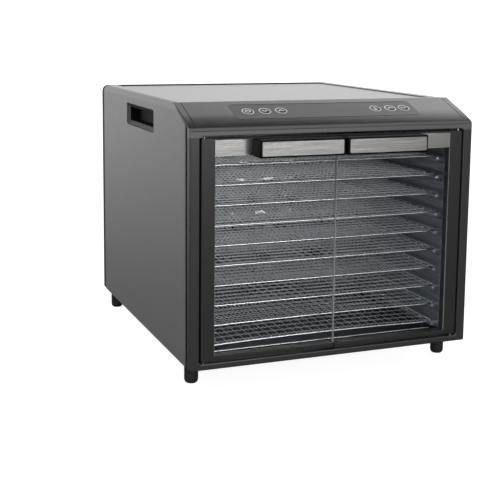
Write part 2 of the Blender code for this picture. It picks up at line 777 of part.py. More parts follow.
def handle(side, s):
    back = DOOR_FRONT - 0.05
    front = HANDLE_FRONT + 0.2
    u, v = mirrored(s, HANDLE_IN, HANDLE_OUT), (HANDLE_BOTTOM, HANDLE_TOP)
    loops = [
        place(rounded(u, v, 2.0, 3), "Y", back),
        place(rounded(u, v, 2.0, 3), "Y", front + 2.4),
        place(rounded(*inset(u, v, 0.7), 2.0, 3), "Y", front + 0.7),
        place(rounded(*inset(u, v, 2.0), 2.0, 3), "Y", front),
    ]
    body = loft(side + "_handle", loops)
    px, pz = mirrored(s, PLATE[0], PLATE[1]), (PLATE[2], PLATE[3])
    pocket = prism("pocket", rounded(*inset(px, pz, -GAP), 2.3, 3), "Y", front - 3, front + PLATE_T)
    grip = rounded((px[0] + 4.0, px[1] - 4.0), (320.0, 349.0), 3.0, 3)
    fingers = prism("fingers", grip, "Y", front + 7.0, back - 5.0)
    cut(body, pocket, fingers)
    plate = [
        place(rounded(px, pz, 2.0, 3), "Y", front + PLATE_T - 0.1),
        place(rounded(px, pz, 2.0, 3), "Y", HANDLE_FRONT + 0.35),
        place(rounded(*inset(px, pz, 0.35), 1.7, 3), "Y", HANDLE_FRONT),
    ]
    loft(side + "_handle_plate", plate)


# ---- finishes and placing -------------------------------------------------------------------------


def paint(obj):
    name, color, rough, metal, alpha, _ = next(f for f in FINISHES if any(w in obj.name for w in f[5]))
    material = bpy.data.materials.new(f"{obj.name}_{name}")
    material.use_nodes = True
    shader = material.node_tree.nodes["Principled BSDF"]
    shader.inputs["Base Color"].default_value = (*color, 1.0)
    shader.inputs["Roughness"].default_value = rough
    shader.inputs["Metallic"].default_value = metal
    shader.inputs["Alpha"].default_value = alpha
    obj.data.materials.clear()
    obj.data.materials.append(material)
    obj.data.shade_smooth()
    obj.data.set_sharp_from_angle(angle=math.radians(30))


def set_origin(obj, point):
    """Moves the object's origin to this point, in metres, and leaves its shape where it is."""
    obj.data.transform(Matrix.Translation(-point))
    obj.location = point


def centre_of(obj):
    corners = [Vector(c) for c in obj.bound_box]
    return (corners[0] + corners[6]) / 2


def empty_at(name, point):
    empty = bpy.data.objects.new(name, None)
    empty.location = Vector(point) * MM
    bpy.context.scene.collection.objects.link(empty)
    return empty


def assemble():
    """Doors hang on their hinge axes and the fan on its shaft; all else is placed in the cabinet."""
    parts = [o for o in bpy.data.objects if o.type == "MESH"]
    cabinet = empty_at("cabinet", (0, 0, 0))
    carriers = {
        ("left_door", "left_handle"): empty_at("left_door_hinge", (-HINGE_X, HINGE_Y, 200.0)),
        ("right_door", "right_handle"): empty_at("right_door_hinge", (HINGE_X, HINGE_Y, 200.0)),
        ("fan_impeller", "fan_shaft"): empty_at("fan_axis", (0.0, sum(FAN_Y) / 2 + 1.0, FAN_Z)),
    }
    for carrier in carriers.values():
        carrier.parent = cabinet
    for obj in parts:
        paint(obj)
        carrier = next((e for names, e in carriers.items() if obj.name.startswith(names)), None)
        if carrier:
            obj.data.transform(Matrix.Translation(-carrier.location))
            obj.parent = carrier
        else:
            set_origin(obj, centre_of(obj))
            obj.parent = cabinet


clear_scene()
side_panels()
top_panel()
rear_cover()
base_pan()
feet()
grab_handles()
front_bezel()
control_fascia()
liners()
rear_baffle()
trays()
drip_tray()
catches()
fan_compartment()
electrics()
doors()
assemble()
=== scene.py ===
"""Looks of the ten-tray food dehydrator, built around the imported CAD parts.

Shapes are written in millimetres and become metres in their meshes. +X is to the right as seen
from the front, the doors face -Y and +Z is up.
"""

import json
import math

import bmesh
import bpy
import numpy as np
from mathutils import Matrix, Vector


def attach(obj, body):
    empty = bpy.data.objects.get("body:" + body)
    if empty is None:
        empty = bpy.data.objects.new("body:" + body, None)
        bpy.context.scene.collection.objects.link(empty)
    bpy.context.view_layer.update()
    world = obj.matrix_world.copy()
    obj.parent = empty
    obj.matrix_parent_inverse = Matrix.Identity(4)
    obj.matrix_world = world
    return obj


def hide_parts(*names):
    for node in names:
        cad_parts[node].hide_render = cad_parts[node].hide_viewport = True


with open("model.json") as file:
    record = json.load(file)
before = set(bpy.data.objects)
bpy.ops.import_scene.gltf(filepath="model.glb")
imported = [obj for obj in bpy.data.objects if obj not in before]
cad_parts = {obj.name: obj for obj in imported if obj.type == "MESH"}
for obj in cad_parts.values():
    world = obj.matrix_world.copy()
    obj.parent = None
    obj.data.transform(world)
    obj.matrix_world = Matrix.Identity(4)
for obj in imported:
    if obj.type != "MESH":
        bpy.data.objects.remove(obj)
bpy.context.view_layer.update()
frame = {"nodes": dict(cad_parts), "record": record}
NODES = frame["nodes"]
MM = 0.001

# Camera: lens for a 36 mm sensor, and its axes in the frame
LENS = 74.242
SHIFT_Y = -0.16
EYE = Vector((-0.65456, -1.54137, 0.51095))
AHEAD = Vector((0.36573, 0.91999, -0.14090))
RIGHT = Vector((0.92976, -0.36801, 0.01052))

# Cabinet, in millimetres
HALF_W = 222.5
TOP = 400.0
SHEET = 1.2
SHELL_BOTTOM = 33.0
SHELL_FRONT = -214.0
SHELL_REAR = 247.0
SHELL_TOP_FRONT = -160.0
SHELL_CORNER_Z = 373.4
SHELL_RADIUS = 10.0
GRAB_Y = (-63.1, 91.4)
GRAB_Z = (346.9, 381.6)
SLOPE_FRONT = (-228.5, 373.4)
SLOPE_REAR = (-160.3, 400.0)
FOLD_RUN = 3.0
FOLD_DEPTH = 1.4
RECESS_HALF_W = 198.0
RECESS_FRONT = -152.0
RECESS_DEPTH = 1.7
GLASS_FRONT = -231.4
GLASS_T = 4.0
GLASS_IN = 0.9
TRIM_X = (185.15, 185.55)
TRIM_Y = (-233.6, -231.5)
TRIM_Z = (50.8, 330.0)
SEAL_Z = (50.6, 329.0)
DRIP_BEAD = (-205.4, 47.4, 1.0)

# Trays
TRAYS = 10
TRAY_TOP_Z = 316.4
TRAY_PITCH = 28.78
TRAY_HALF_W = 187.0
TRAY_Y = (-206.0, 152.0)
TRAY_BOW = {8: 1.5, 9: 3.0}
WAVE_R = 0.7
WAVE_LIFT = 0.8
CROSS_R = 0.4
CROSS_DROP = 1.0
WIRE_PITCH_X = 6.8
WIRE_PITCH_Y = 19.0
WIRE_SIDES = 5
WAVE_STEPS = 4
MESH_EDGE = 4.5
MESH_DROP = 1.7
# Across the rim: distance in from its outer edge, and height above its top
RIM_PROFILE = (
    (1.3, 0.0), (0.5, -0.25), (0.0, -1.0), (0.0, -1.7), (0.5, -2.35), (1.3, -2.6),
    (7.5, -2.6), (7.8, -2.2), (7.5, -1.8), (2.8, -1.6), (2.2, -0.6),
)
RIM_PIECES = 16

# Screws in a column near each side's rear edge
SCREW_Y = 239.0
SCREW_TOP_Z = 339.0
SCREW_PITCH = 34.0
SCREWS = 8
SCREW_R = 1.9
SCREW_DEPTH = 0.75

# Touch keys: places across the fascia and up its slope, and the thickness of the print
KEYS_X = (-122.0, -96.0, -71.0, 81.0, 106.0, 129.0)
KEY_S = 40.0
KEY_RING_R = 8.4
PRINT_T = 0.08
DARK_PRINT_T = 0.06

# Heights in the fascia's paint, with the grey at each, from its front edge up past the crease: a painted
# highlight on the front edge and painted shade in the crease above it
FASCIA_Z = (365.0, 385.0)
FASCIA_PAINTED_LIGHT = ((369.4, 0.12), (371.0, 0.007), (373.4, 0.012), (377.4, 0.034))

# In the bezel's paint: where the front face gives way to the groove that gets painted shade, and where the
# top bar with its painted highlight begins
SHADED_GROOVE_Y = (-223.3, -222.8)
LIT_TOP_BAR_Z = (357.2, 357.8)


# ---- meshes -------------------------------------------------------------------------------------


def to_piece(name, mesh, body, material, smooth=35.0, replaces=()):
    obj = bpy.data.objects.new(name, mesh)
    bpy.context.scene.collection.objects.link(obj)
    if smooth:
        mesh.shade_smooth()
        mesh.set_sharp_from_angle(angle=math.radians(smooth))
    mesh.materials.append(material)
    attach(obj, body)
    if replaces:
        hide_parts(*replaces)
    return obj


def place(pts, axis, level):
    """2-D points put on the plane where the axis has that level."""
    if axis == "X":
        return [(level, a, b) for a, b in pts]
    if axis == "Y":
        return [(a, level, b) for a, b in pts]
    return [(a, b, level) for a, b in pts]


def rounded(u, v, radius, steps=6):
    """Rectangle with rounded corners."""
    corners = [(u[0], v[0], 1, 1), (u[1], v[0], -1, 1), (u[1], v[1], -1, -1), (u[0], v[1], 1, -1)]
    pts = []
    for k, (cu, cv, su, sv) in enumerate(corners):
        ou, ov = cu + su * radius, cv + sv * radius
        for i in range(steps + 1):
            a = math.pi + k * math.pi / 2 + i * math.pi / 2 / steps
            pts.append((ou + radius * math.cos(a), ov + radius * math.sin(a)))
    return pts


def circle(cu, cv, radius, steps=32):
    pts = []
    for i in range(steps):
        a = 2 * math.pi * i / steps
        pts.append((cu + radius * math.cos(a), cv + radius * math.sin(a)))
    return pts


def inset(u, v, d):
    return (u[0] + d, u[1] - d), (v[0] + d, v[1] - d)


def skin(loops, closed=False, base=0):
    """Faces between loops of equal length, capped at both ends or joined end to end."""
    count = len(loops[0])
    faces = []
    rows = len(loops)
    for r in range(rows if closed else rows - 1):
        a, b = base + r * count, base + (r + 1) % rows * count
        for i in range(count):
            j = (i + 1) % count
            faces.append((a + i, a + j, b + j, b + i))
    if not closed:
        faces.append(tuple(range(base + count - 1, base - 1, -1)))
        faces.append(tuple(range(base + (rows - 1) * count, base + rows * count)))
    return faces


class Build:
    """Collects lofted shapes into one mesh, in millimetres."""

    def __init__(self):
        self.verts = []
        self.faces = []

    def loft(self, loops, closed=False, matrix=None):
        base = len(self.verts)
        for loop in loops:
            for p in loop:
                self.verts.append(tuple(matrix @ Vector(p)) if matrix else tuple(p))
        self.faces += skin(loops, closed, base)
        return self

    def mesh(self, name):
        bm = bmesh.new()
        points = [bm.verts.new([c * MM for c in v]) for v in self.verts]
        for face in self.faces:
            bm.faces.new([points[i] for i in face])
        bmesh.ops.recalc_face_normals(bm, faces=bm.faces)
        mesh = bpy.data.meshes.new(name)
        bm.to_mesh(mesh)
        bm.free()
        return mesh


def cut(mesh, *cutters):
    """The mesh with closed shapes taken out of it."""
    obj = bpy.data.objects.new("cut_target", mesh)
    bpy.context.scene.collection.objects.link(obj)
    for cutter in cutters:
        tool = bpy.data.objects.new("cutter", cutter)
        bpy.context.scene.collection.objects.link(tool)
        mod = obj.modifiers.new("bool", "BOOLEAN")
        mod.operation = "DIFFERENCE"
        mod.solver = "EXACT"
        mod.object = tool
        graph = bpy.context.evaluated_depsgraph_get()
        baked = bpy.data.meshes.new_from_object(obj.evaluated_get(graph))
        obj.modifiers.clear()
        obj.data = baked
        bpy.data.objects.remove(tool, do_unlink=True)
    result = obj.data
    bpy.data.objects.remove(obj, do_unlink=True)
    return result


# ---- materials ----------------------------------------------------------------------------------


class Paint:
    """A node material whose surface is a Principled shader."""

    def __init__(self, name, color, rough, metal=0.0, **inputs):
        self.mat = bpy.data.materials.new(name)
        self.mat.use_nodes = True
        self.tree = self.mat.node_tree
        self.shader = self.tree.nodes["Principled BSDF"]
        self.color = color
        self.rough = rough
        self.set("Base Color", (*color, 1))
        self.set("Roughness", rough)
        self.set("Metallic", metal)
        for key, value in inputs.items():
            self.set(key.replace("_", " "), value)
        coord = self.node("ShaderNodeTexCoord")
        self.coord = coord.outputs["Object"]
        self.normal = None

    def set(self, key, value):
        self.shader.inputs[key].default_value = value

    def node(self, kind, **values):
        n = self.tree.nodes.new(kind)
        for key, value in values.items():
            setattr(n, key, value)
        return n

    def link(self, a, b):
        self.tree.links.new(a, b)

    def stretched(self, scale):
        m = self.node("ShaderNodeMapping")
        m.inputs["Scale"].default_value = scale
        self.link(self.coord, m.inputs["Vector"])
        return m.outputs["Vector"]

    def noise(self, scale, detail=2.0, stretch=None):
        n = self.node("ShaderNodeTexNoise")
        n.inputs["Scale"].default_value = scale
        n.inputs["Detail"].default_value = detail
        self.link(self.stretched(stretch) if stretch else self.coord, n.inputs["Vector"])
        return n.outputs["Fac"]

    def span(self, value, low, high, from_low=0.3, from_high=0.7):
        m = self.node("ShaderNodeMapRange")
        for key, number in (("From Min", from_low), ("From Max", from_high),
                            ("To Min", low), ("To Max", high)):
            m.inputs[key].default_value = number
        self.link(value, m.inputs["Value"])
        return m.outputs["Result"]

    def shades(self, value, dark, light):
        """Base colour between dark and light times the paint's own."""
        ramp = self.node("ShaderNodeValToRGB")
        for stop, factor, at in zip(ramp.color_ramp.elements, (dark, light), (0.35, 0.65)):
            stop.position = at
            stop.color = (*[min(c * factor, 1.0) for c in self.color], 1)
        self.link(value, ramp.inputs["Fac"])
        self.link(ramp.outputs["Color"], self.shader.inputs["Base Color"])
        return self

    def rough_by(self, value, spread):
        out = self.span(value, max(self.rough - spread, 0.02), self.rough + spread)
        self.link(out, self.shader.inputs["Roughness"])
        return self

    def bump(self, value, depth, strength=1.0):
        b = self.node("ShaderNodeBump")
        b.inputs["Distance"].default_value = depth
        b.inputs["Strength"].default_value = strength
        self.link(value, b.inputs["Height"])
        if self.normal:
            self.link(self.normal, b.inputs["Normal"])
        self.normal = b.outputs["Normal"]
        self.link(self.normal, self.shader.inputs["Normal"])
        return self


def painted_metal(name, color, rough, **inputs):
    """Baked powder coat: fine orange peel, faint clouding."""
    p = Paint(name, color, rough, **inputs)
    p.shades(p.noise(60.0, 4.0), 0.98, 1.02)
    p.rough_by(p.noise(180.0, 3.0), 0.02)
    p.bump(p.noise(1400.0, 2.0), 0.00004, 0.5)
    p.bump(p.noise(260.0, 1.0), 0.00005, 0.3)
    return p.mat


def plastic(name, color, rough, **inputs):
    """Moulded plastic: fine texture and slightly uneven gloss."""
    p = Paint(name, color, rough, **inputs)
    p.shades(p.noise(25.0, 3.0), 0.97, 1.03)
    p.rough_by(p.noise(45.0, 4.0), 0.02)
    p.bump(p.noise(2600.0, 1.0), 0.00002, 0.4)
    return p.mat


def brushed(name, color, rough, along, **inputs):
    """Steel with fine lines along one axis."""
    scale = [2200.0, 2200.0, 2200.0]
    scale[along] = 18.0
    p = Paint(name, color, rough, 1.0, **inputs)
    lines = p.noise(1.0, 3.0, scale)
    p.shades(lines, 0.9, 1.08)
    p.rough_by(lines, 0.07)
    p.bump(lines, 0.00003, 0.35)
    return p.mat


def polished(name, color, rough):
    """Bright plated steel, barely clouded."""
    p = Paint(name, color, rough, 1.0)
    p.shades(p.noise(40.0, 2.0), 0.97, 1.03)
    p.rough_by(p.noise(90.0, 2.0), 0.03)
    return p.mat


def cup_plastic():
    """Grey at the rim, with painted shade that turns it black deeper down inside the recess."""
    p = Paint("grab_plastic", (0.09, 0.09, 0.092), 0.5, Specular_IOR_Level=0.1)
    parts = p.node("ShaderNodeSeparateXYZ")
    p.link(p.coord, parts.inputs[0])
    out = p.node("ShaderNodeMath", operation="ABSOLUTE")
    p.link(parts.outputs["X"], out.inputs[0])
    # Painted shade: past this depth inside the recess the plastic is darkened towards black.
    shaded_depth = (HALF_W - 5.6) * MM
    p.shades(p.span(out.outputs[0], 0.0, 1.0, shaded_depth, shaded_depth + 0.0015), 0.03, 1.0)
    p.bump(p.noise(2600.0, 1.0), 0.00002, 0.4)
    return p.mat


def fascia_plastic():
    """Satin plastic, with painted shade in the crease above the front edge and a painted highlight on the
    edge itself.
    """
    p = Paint("fascia_plastic", (0.034, 0.034, 0.034), 0.2)
    parts = p.node("ShaderNodeSeparateXYZ")
    p.link(p.coord, parts.inputs[0])
    low, high = FASCIA_Z
    # Painted light: grey by height, paler on the front edge and darkest in the crease.
    ramp = p.node("ShaderNodeValToRGB")
    p.link(p.span(parts.outputs["Z"], 0.0, 1.0, low * MM, high * MM), ramp.inputs["Fac"])
    stops = ramp.color_ramp.elements
    while len(stops) < len(FASCIA_PAINTED_LIGHT):
        stops.new(0.5)
    for stop, (z, painted_light) in zip(stops, FASCIA_PAINTED_LIGHT):
        stop.position = (z - low) / (high - low)
        stop.color = (painted_light, painted_light, painted_light, 1)
    p.link(ramp.outputs["Color"], p.shader.inputs["Base Color"])
    p.rough_by(p.noise(45.0, 4.0), 0.02)
    p.bump(p.noise(2600.0, 1.0), 0.00002, 0.4)
    return p.mat


def bezel_plastic():
    """Satin plastic, with a painted highlight on the top bar and painted shade, matt black, in the groove
    behind the front face.
    """
    p = Paint("bezel_plastic", (0.035, 0.035, 0.036), 0.33)
    parts = p.node("ShaderNodeSeparateXYZ")
    p.link(p.coord, parts.inputs[0])
    # Painted light: the top bar is lightened and the groove is darkened towards black.
    face = p.span(parts.outputs["Y"], 1.0, 0.0, *[y * MM for y in SHADED_GROOVE_Y])
    painted_light = p.node("ShaderNodeMath", operation="MULTIPLY")
    p.link(p.span(parts.outputs["Z"], 0.425, 1.0, *[z * MM for z in LIT_TOP_BAR_Z]), painted_light.inputs[0])
    p.link(face, painted_light.inputs[1])
    p.shades(painted_light.outputs[0], 0.2, 3.4)
    p.link(p.span(face, 0.85, 0.33, 0.0, 1.0), p.shader.inputs["Roughness"])
    p.bump(p.noise(2600.0, 1.0), 0.00002, 0.4)
    return p.mat


def clouded(name, color, rough, scale, spread, **inputs):
    """Print or sealant of slightly uneven shade."""
    p = Paint(name, color, rough, **inputs)
    p.shades(p.noise(scale, 2.0), 1 - spread, 1 + spread)
    return p.mat


def foot_rubber():
    p = Paint("foot_rubber", (0.012, 0.012, 0.012), 0.75)
    p.shades(p.noise(60.0, 3.0), 0.8, 1.3)
    p.bump(p.noise(1800.0, 2.0), 0.00008, 0.6)
    return p.mat


def circuit_board():
    """Green board with a pattern of traces."""
    p = Paint("circuit_board", (0.012, 0.09, 0.035), 0.4)
    traces = p.node("ShaderNodeTexBrick")
    traces.inputs["Scale"].default_value = 160.0
    p.link(p.coord, traces.inputs["Vector"])
    p.shades(traces.outputs["Fac"], 0.8, 1.9)
    p.bump(traces.outputs["Fac"], 0.0001, 0.5)
    return p.mat


def door_glass():
    """Clear pane, slightly uneven in gloss."""
    p = Paint("door_glass", (0.01, 0.011, 0.012), 0.03, 0.0, Alpha=0.05, IOR=1.9)
    p.rough_by(p.noise(14.0, 3.0), 0.012)
    return p.mat


def make_materials():
    m = {}
    m["shell"] = painted_metal("shell_paint", (0.18, 0.179, 0.178), 0.34)
    m["dark_cover"] = painted_metal("cover_paint", (0.022, 0.022, 0.023), 0.55, Specular_IOR_Level=0.15)
    m["feet"] = foot_rubber()
    m["grab_cup"] = cup_plastic()
    m["bezel"] = bezel_plastic()
    m["fascia"] = fascia_plastic()
    m["touch_glass"] = plastic("touch_glass", (0.034, 0.033, 0.039), 0.3, Specular_IOR_Level=0.25)
    m["circuit_board"] = circuit_board()
    m["liner_steel"] = brushed("liner_steel", (0.42, 0.45, 0.5), 0.3, 1, Metallic=0.6)
    # Steel darkened with painted shade, for the interior parts deep in the cavity.
    m["dull_steel"] = brushed("dull_steel", (0.07, 0.08, 0.09), 0.5, 0)
    m["tray_steel"] = brushed("tray_steel", (0.88, 0.9, 0.93), 0.38, 0)
    m["rim_steel"] = polished("rim_steel", (0.88, 0.9, 0.93), 0.2)
    m["bright_steel"] = brushed("bright_steel", (0.66, 0.65, 0.635), 0.2, 0)
    m["black_plastic"] = plastic("black_plastic", (0.005, 0.005, 0.005), 0.45, Specular_IOR_Level=0.08)
    m["door_frame"] = plastic("door_frame_plastic", (0.026, 0.026, 0.027), 0.3)
    m["door_glass"] = door_glass()
    m["glass_edge"] = clouded("glass_edge", (0.34, 0.36, 0.36), 0.35, 90.0, 0.1)
    m["fan_metal"] = brushed("fan_metal", (0.6, 0.6, 0.62), 0.4, 1)
    m["motor"] = painted_metal("motor_paint", (0.05, 0.05, 0.055), 0.5)
    m["heater"] = brushed("heater_steel", (0.35, 0.32, 0.29), 0.45, 1)
    m["dark_print"] = clouded("dark_print", (0.008, 0.008, 0.008), 0.5, 300.0, 0.1, Specular_IOR_Level=0.15)
    m["print"] = clouded("panel_print", (0.93, 0.94, 0.95), 0.5, 300.0, 0.05)
    return m


# ---- cabinet ------------------------------------------------------------------------------------


def shell_front(z):
    """Where the shell's front edge is at this height."""
    share = max(0.0, (z - SHELL_CORNER_Z) / (TOP - SHELL_CORNER_Z))
    return SHELL_FRONT + share * (SHELL_TOP_FRONT - SHELL_FRONT)


def shell_profile():
    """Points and outward normals across the folded sheet, from the left foot edge to the right."""
    half = []
    for z in (SHELL_BOTTOM, 120.0, 250.0, SHELL_CORNER_Z, 380.0):
        half.append(((-HALF_W, z), (-1.0, 0.0)))
    for k in range(13):
        a = math.pi - k * math.pi / 24
        c, s = math.cos(a), math.sin(a)
        centre = (-HALF_W + SHELL_RADIUS, TOP - SHELL_RADIUS)
        half.append(((centre[0] + SHELL_RADIUS * c, centre[1] + SHELL_RADIUS * s), (c, s)))
    other = [((-p[0], p[1]), (-n[0], n[1])) for p, n in reversed(half)]
    return half + other


def shell_sheet():
    """The folded sheet: across the profile, its front fold, outer face, rear edge and inner face."""
    turns = [math.radians(a) for a in (0, 18, 34, 48, 62, 76, 90)]
    rear = SHELL_REAR
    r = 0.35
    rows = []
    for (x, z), (nx, nz) in shell_profile():
        front = shell_front(z)
        section = []
        for t in reversed(turns):
            section.append((FOLD_DEPTH * (1 - math.cos(t)), front + FOLD_RUN * (1 - math.sin(t))))
        section += [(0, rear - r), (0.1, rear - 0.1), (r, rear), (SHEET, rear)]
        section += [(SHEET, front + FOLD_RUN), (SHEET + 0.5, front + SHEET + 1.0),
                    (FOLD_DEPTH, front + SHEET)]
        rows.append([(x - nx * depth, y, z - nz * depth) for depth, y in section])
    return Build().loft(rows).mesh("cabinet_shell")


def grab_hole(x):
    hole = rounded(GRAB_Y, GRAB_Z, 4.4)
    return Build().loft([place(hole, "X", x[0]), place(hole, "X", x[1])]).mesh("hole")


def top_window():
    """Recess in the top, open at the back, with a softened rim."""
    u, v = (-RECESS_HALF_W, RECESS_HALF_W), (RECESS_FRONT, SHELL_REAR + 20)
    loops = [place(rounded(*inset(u, v, d), 7.0 - d), "Z", z)
             for d, z in ((0, TOP - 8), (0, TOP - 0.5), (-0.5, TOP), (-0.6, TOP + 1))]
    return Build().loft(loops).mesh("window")


def shell(m):
    """One folded sheet for both sides and the top, turned in along its front edge."""
    left, right = (-HALF_W - 5, -HALF_W + 8), (HALF_W - 8, HALF_W + 5)
    mesh = cut(shell_sheet(), grab_hole(left), grab_hole(right), top_window())
    sheet = to_piece("cabinet_shell", mesh, "cabinet", m["shell"], 30.0,
                     ("left_side_panel", "right_side_panel", "top_panel"))
    normals = sheet.modifiers.new("flat_faces", "WEIGHTED_NORMAL")
    normals.keep_sharp = True
    normals.weight = 100


def recess_plate(m):
    """Plate in the bottom of the top's recess."""
    u, v = (-RECESS_HALF_W - 3.0, RECESS_HALF_W + 3.0), (RECESS_FRONT - 3.0, SHELL_REAR - 0.1)
    top = TOP - RECESS_DEPTH
    loops = [place(rounded(*inset(u, v, d), 6.0), "Z", z)
             for d, z in ((0.3, top - 1.2), (0, top - 0.9), (0, top - 0.1), (0.1, top))]
    mesh = Build().loft(loops).mesh("top_recess_plate")
    to_piece("top_recess_plate", mesh, "cabinet", m["shell"], 30.0)


# ---- trays --------------------------------------------------------------------------------------


def wires(lines, across, along, radius):
    """Vertices and faces of one tube per wire, from the wire's points along an axis and heights."""
    turn = np.arange(WIRE_SIDES) * 2 * math.pi / WIRE_SIDES
    verts, faces = [], []
    for c, (t, z) in zip(across, lines):
        ring = np.zeros((len(t), WIRE_SIDES, 3))
        ring[:, :, along] = t[:, None]
        ring[:, :, 1 - along] = c + radius * np.cos(turn)[None, :]
        ring[:, :, 2] = z[:, None] + radius * np.sin(turn)[None, :]
        base = len(verts)
        verts += ring.reshape(-1, 3).tolist()
        for k in range(len(t) - 1):
            a, b = base + k * WIRE_SIDES, base + (k + 1) * WIRE_SIDES
            for i in range(WIRE_SIDES):
                j = (i + 1) % WIRE_SIDES
                faces.append((a + i, a + j, b + j, b + i))
    return verts, faces


def mesh_wires(bend, level):
    """Wavy wires from side to side on straight ones from front to back."""
    x0, x1 = -TRAY_HALF_W + MESH_EDGE, TRAY_HALF_W - MESH_EDGE
    y0, y1 = TRAY_Y[0] + MESH_EDGE, TRAY_Y[1] - MESH_EDGE
    nx = int((x1 - x0) / WIRE_PITCH_X)
    ny = int((y1 - y0) / WIRE_PITCH_Y)
    rows = [y0 + (y1 - y0) * (k + 0.5) / ny for k in range(ny)]
    columns = [x0 + (x1 - x0) * (k + 0.5) / nx for k in range(0, nx, 2)]
    t = np.linspace(x0, x1, nx * WAVE_STEPS + 1)
    waves = []
    for k in range(ny):
        turn = 2 * math.pi * (t - x0) / (x1 - x0) * nx + math.pi * k
        waves.append((t, level + bend(t) + WAVE_LIFT * np.cos(turn)))
    straight = []
    for c in columns:
        straight.append((np.array([y0, y1]), level + bend(c) - CROSS_DROP + np.zeros(2)))
    return wires(waves, rows, 0, WAVE_R), wires(straight, columns, 1, CROSS_R)


def tray_rim(bend, level):
    """Rolled rim with a flat inner flange, its long sides in short pieces so that they can bow."""
    u, v = (-TRAY_HALF_W, TRAY_HALF_W), TRAY_Y
    loops = []
    for d, z in RIM_PROFILE:
        corners = rounded(*inset(u, v, d), max(8.0 - d, 0.5), 5)
        fine = []
        for i, p in enumerate(corners):
            q = corners[(i + 1) % len(corners)]
            n = RIM_PIECES if abs(p[0] - q[0]) > 100 else 1
            for k in range(n):
                x = p[0] + (q[0] - p[0]) * k / n
                y = p[1] + (q[1] - p[1]) * k / n
                fine.append((x, y, level + z + float(bend(x))))
        loops.append(fine)
    return Build().loft(loops, closed=True)


def tray(index, m):
    """One tray: a rolled rim, and a wire mesh let into it."""
    bow = TRAY_BOW.get(index, 0.0)
    level = TRAY_TOP_Z - TRAY_PITCH * index

    def bend(x):
        return bow * (1 - (np.asarray(x) / TRAY_HALF_W) ** 2)

    rim = tray_rim(bend, level)
    verts, faces = list(rim.verts), list(rim.faces)
    for wire_verts, wire_faces in mesh_wires(bend, level - MESH_DROP):
        base = len(verts)
        verts += wire_verts
        faces += [tuple(i + base for i in f) for f in wire_faces]
    name = f"tray_{index + 1:02d}"
    mesh = bpy.data.meshes.new(name + "_mesh")
    mesh.from_pydata([tuple(c * MM for c in v) for v in verts], [], faces)
    of_rim = [int(i < len(rim.faces)) for i in range(len(faces))]
    mesh.polygons.foreach_set("material_index", of_rim)
    piece = to_piece(name + "_mesh", mesh, name, m["tray_steel"], 50.0, (name,))
    piece.data.materials.append(m["rim_steel"])


def glass_seal(m):
    """Pale strip along the left pane's free edge, which closes the gap to the right pane."""
    x = (-GLASS_IN - 0.1, 0.4)
    y = (GLASS_FRONT - 0.3, GLASS_FRONT + GLASS_T + 0.3)
    loops = [place(rounded(x, y, 0.6, 4), "Z", z) for z in SEAL_Z]
    mesh = Build().loft(loops).mesh("glass_seal")
    to_piece("glass_seal", mesh, "left_door", m["glass_edge"])


def door_trims(m):
    """Bright bead along each pane's outer edge, beside the stile."""
    for side, name in ((-1, "left"), (1, "right")):
        x = sorted((side * TRIM_X[0], side * TRIM_X[1]))
        loops = [place(rounded(x, TRIM_Y, 0.15, 3), "Z", z) for z in TRIM_Z]
        mesh = Build().loft(loops).mesh(name + "_door_trim")
        to_piece(name + "_door_trim", mesh, name + "_door", m["glass_edge"])


def drip_tray_bead(m):
    """Rolled front edge of the drip tray."""
    loops = []
    for x in (-179.5, -60.0, 60.0, 179.5):
        loops.append(place(circle(DRIP_BEAD[0], DRIP_BEAD[1], DRIP_BEAD[2], 12), "X", x))
    mesh = Build().loft(loops).mesh("drip_tray_bead")
    to_piece("drip_tray_bead", mesh, "drip", m["rim_steel"], 50.0)


def screw(build, side, x, z):
    """Domed head with a round recess, facing out of the side."""
    def ring(share, out):
        return place(circle(SCREW_Y, z, SCREW_R * share, 20), "X", x + side * out)

    build.loft([ring(1.0, -0.4), ring(1.0, 0.25), ring(0.85, 0.6), ring(0.6, 0.72),
                ring(0.52, 0.3), ring(0.2, 0.12)])


def screws(m):
    """Screw heads near each side's rear edge, just under the sheet's outer face."""
    b = Build()
    for k in range(SCREWS):
        for side in (-1, 1):
            screw(b, side, side * (HALF_W - SCREW_DEPTH), SCREW_TOP_Z - SCREW_PITCH * k)
    to_piece("panel_screws", b.mesh("panel_screws"), "cabinet", m["dark_print"])


# ---- controls -----------------------------------------------------------------------------------


def slope_frame():
    run = SLOPE_REAR[0] - SLOPE_FRONT[0]
    rise = SLOPE_REAR[1] - SLOPE_FRONT[1]
    origin = Vector((0, SLOPE_FRONT[0], SLOPE_FRONT[1]))
    return Matrix.Translation(origin) @ Matrix.Rotation(math.atan2(rise, run), 4, "X")


